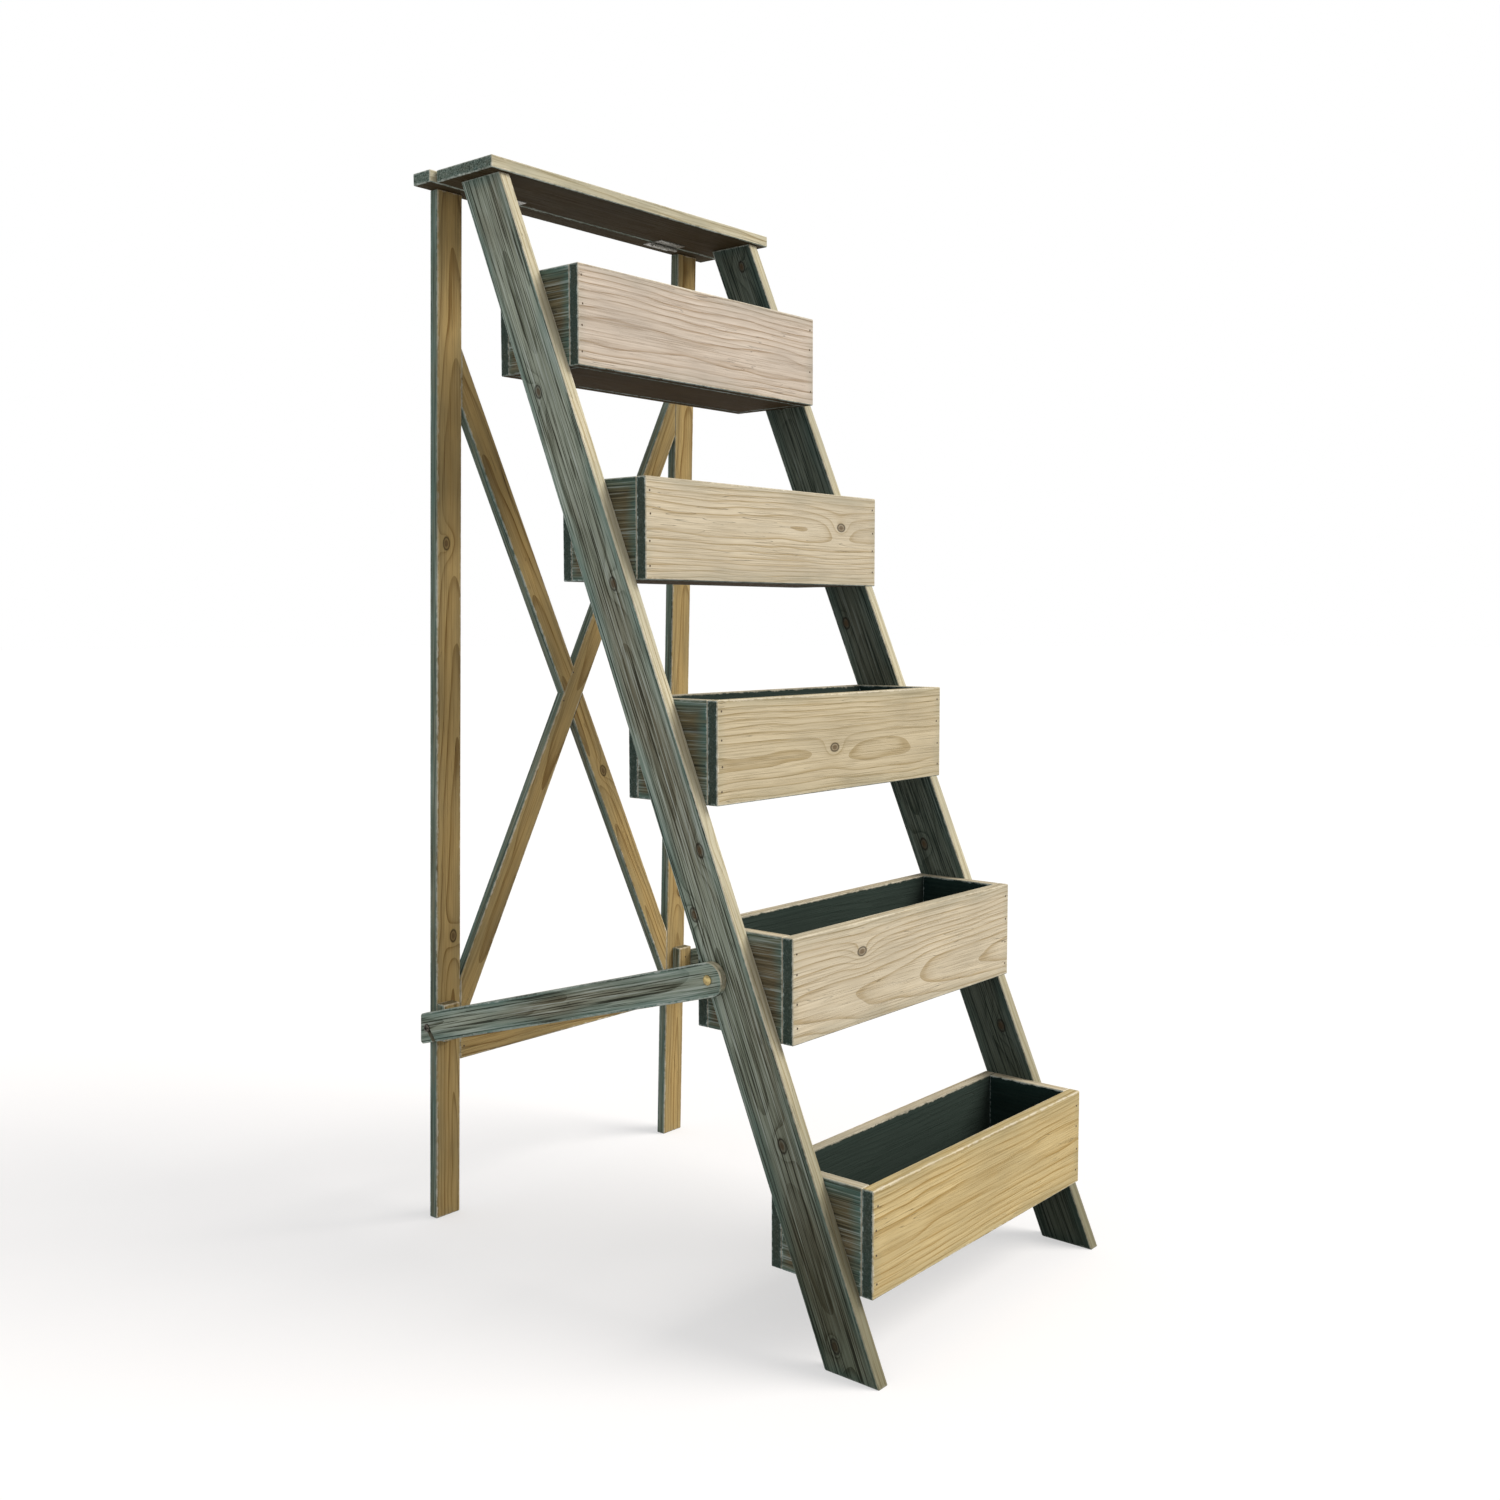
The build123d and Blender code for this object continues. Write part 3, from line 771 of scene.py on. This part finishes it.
# %% The rear frame's sloping front
leg_low, leg_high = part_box("rear_leg_right")
leg_middle, leg_axes, leg_half, _ = lie_of("rear_leg_right")
through = leg_axes.col[2]
rear_front = -through if through.y > 0 else through
leg_thick = 2 * leg_half[2] * MM
front_middle = leg_middle + rear_front * leg_half[2] * MM


def on_rear_front(x, z):
    """The point on the frame's front face at a width and a height."""
    return (x, front_middle.y - (z - front_middle.z) * rear_front.z / rear_front.y, z)


print("the rear frame's front looks", [round(part, 3) for part in rear_front])

# %% [markdown]
# Two nails hold the crossing of the braces, one each end of the crossbar, two each end of
# the batten into a leg, and two each strap block, which stands a board's thickness out.

# %% Nails of the rear frame
CROSSING_NAILS = ((-0.001, 0.886), (-0.023, 0.838))
# How far in from the leg and below its middle a crossbar's nail lies, and a pair's spread
BAR_NAIL_IN, BAR_NAIL_DROP, PAIR_STEP = 0.008, 0.004, 0.012
BLOCK_SHARES = (0.3, 0.7)

frame_nails = [(on_rear_front(x, z), rear_front) for x, z in CROSSING_NAILS]
bar_low, bar_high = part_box("crossbar")
bar_z = (bar_low.z + bar_high.z) / 2 - BAR_NAIL_DROP
for side in (-1, 1):
    frame_nails.append((on_rear_front(side * (leg_low.x - BAR_NAIL_IN), bar_z), rear_front))
batten_low, batten_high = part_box("batten")
batten_y = (batten_low.y + batten_high.y) / 2
for side in (-1, 1):
    for step in (-PAIR_STEP, PAIR_STEP):
        x = side * (leg_low.x + leg_high.x) / 2 + step
        frame_nails.append(((x, batten_y, batten_high.z - SUNK), (0, 0, 1)))
block_low, block_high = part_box("strap_block_right")
for side in (-1, 1):
    for share in BLOCK_SHARES:
        x = side * (block_low.x + block_high.x) / 2
        z = block_low.z + (block_high.z - block_low.z) * share
        at = Vector(on_rear_front(x, z)) + rear_front * leg_thick
        frame_nails.append((at, rear_front))
heads(
    "frame_nails", "rear_frame", frame_nails, NAIL_RADIUS, NAIL_PROUD, nail_steel
)

# %% [markdown]
# Each hinge leaf is held by three small screws with low round heads, on its underside.
# The knuckles hang lower than the leaf, so its underside is counted down from its top.

# %% Hinge screws
SCREW_RADIUS, SCREW_PROUD, LEAF_THICK = 2.8 * MM, 0.8 * MM, 1.5 * MM
# Millimetres from the leaf's outer end, and in from its long free edge
ALONG_LEAF, FROM_EDGE = (9, 30, 51), 9
for leaf, body in (("hinge_leaves_fixed", "ladder"), ("hinge_leaves_moving", "rear_frame")):
    low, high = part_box(leaf)
    y = low.y + FROM_EDGE * MM if body == "ladder" else high.y - FROM_EDGE * MM
    places = [
        ((side * (high.x - from_end * MM), y, high.z - LEAF_THICK), (0, 0, -1))
        for side in (-1, 1)
        for from_end in ALONG_LEAF
    ]
    heads(leaf + "_screws", body, places, SCREW_RADIUS, SCREW_PROUD, zinc)

# %% [markdown]
# The floor is plain and pale, and catches the shadow. To the camera it glows just enough
# to meet the white background with no line between them, while the light that it throws
# back on the stand stays that of a pale floor. The same choice, by the kind of ray, makes
# the world white to the camera and in the metal, and softer as a light.

# %% Floor
FLOOR_RADIUS, FLOOR_GLOW = 60.0, 0.5


def seen_directly(tree):
    """One for a ray from the camera, a gloss or a glass, and zero for light on the stand."""
    rays = add(tree, "ShaderNodeLightPath")
    seen = (rays, "Is Camera Ray")
    for kind in ("Is Glossy Ray", "Is Transmission Ray"):
        seen = add(tree, "ShaderNodeMath", {0: seen, 1: (rays, kind)}, operation="MAXIMUM")
    return seen


shape = bmesh.new()
bmesh.ops.create_circle(shape, cap_ends=True, segments=96, radius=FLOOR_RADIUS)
floor_mesh = bpy.data.meshes.new("studio_floor")
shape.to_mesh(floor_mesh)
shape.free()
floor = bpy.data.objects.new("studio_floor", floor_mesh)
bpy.context.scene.collection.objects.link(floor)
# Matt painted floor: an even pale ground that shows nothing but the shadow
floor_material = bpy.data.materials.new("matt_studio_floor")
floor_material.use_nodes = True
tree = floor_material.node_tree
shader = tree.nodes["Principled BSDF"]
shader.inputs["Base Color"].default_value = paint("bcbaba")
shader.inputs["Roughness"].default_value = 0.9
shader.inputs["Specular IOR Level"].default_value = 0.0
shader.inputs["Emission Color"].default_value = (1, 1, 1, 1)
glow = {0: seen_directly(tree), 1: FLOOR_GLOW}
glow = add(tree, "ShaderNodeMath", glow, operation="MULTIPLY")
tree.links.new(glow.outputs[0], shader.inputs["Emission Strength"])
floor_mesh.materials.append(floor_material)
print("floor", 2 * FLOOR_RADIUS, "m across")

# %% [markdown]
# The world gives an even light from all round, as a big soft tent would, and one broad
# lamp stands to the right of the camera, high up, where the sun stood. Together they light
# a face that looks at the lamp at about one, so a colour renders much as it is written,
# and a face turned away at a little over half of that.

# %% World and lamp
AMBIENT, WHITE = 0.56, 1.0
LAMP_STRENGTH, LAMP_BREADTH = 2.7, math.radians(38)
LAMP_ROUND, LAMP_HIGH = math.radians(36), math.radians(40)

world = bpy.data.worlds.new("soft_studio")
bpy.context.scene.world = world
world.use_nodes = True
tree = world.node_tree
background = tree.nodes["Background"]
background.inputs["Color"].default_value = (1, 1, 1, 1)
strength = add(tree, "ShaderNodeMapRange", {0: seen_directly(tree), 3: AMBIENT, 4: WHITE})
tree.links.new(strength.outputs[0], background.inputs["Strength"])

lamp = bpy.data.lights.new("key_lamp", "SUN")
lamp.energy = LAMP_STRENGTH
lamp.angle = LAMP_BREADTH
lamp.color = (1.0, 0.97, 0.92)
lamp_object = bpy.data.objects.new("key_lamp", lamp)
bpy.context.scene.collection.objects.link(lamp_object)
lamp_way = Vector((
    math.sin(LAMP_ROUND) * math.cos(LAMP_HIGH),
    -math.cos(LAMP_ROUND) * math.cos(LAMP_HIGH),
    math.sin(LAMP_HIGH),
))
lamp_object.rotation_euler = lamp_way.to_track_quat("Z", "Y").to_euler()
print("the lamp shines from", [round(part, 2) for part in lamp_way])

# %% [markdown]
# The camera stands where the photographer did: in front of the stand and to its left,
# about 2.4 metres from its middle and a metre up. Its place and lens were worked out from
# the picture's outlines.

# %% Camera
CAMERA_PLACE = (-1.829, -1.5246, 0.971)
CAMERA_TURN, CAMERA_DIP, CAMERA_ROLL = (math.radians(a) for a in (-50.02, 4.758, -0.102))
FOCAL_PIXELS, PICTURE_PIXELS, SENSOR_MM = 1531.5, 1500, 36.0
camera_data = bpy.data.cameras.new("camera")
camera_data.sensor_width = SENSOR_MM
camera_data.lens = FOCAL_PIXELS / PICTURE_PIXELS * SENSOR_MM
camera = bpy.data.objects.new("camera", camera_data)
bpy.context.scene.collection.objects.link(camera)
camera.matrix_world = (
    Matrix.Translation(CAMERA_PLACE)
    @ Matrix.Rotation(CAMERA_TURN, 4, "Z")
    @ Matrix.Rotation(math.pi / 2 - CAMERA_DIP, 4, "X")
    @ Matrix.Rotation(CAMERA_ROLL, 4, "Z")
)
bpy.context.scene.camera = camera
bpy.context.scene.view_settings.view_transform = "Standard"
print("lens", round(camera_data.lens, 2), "mm")
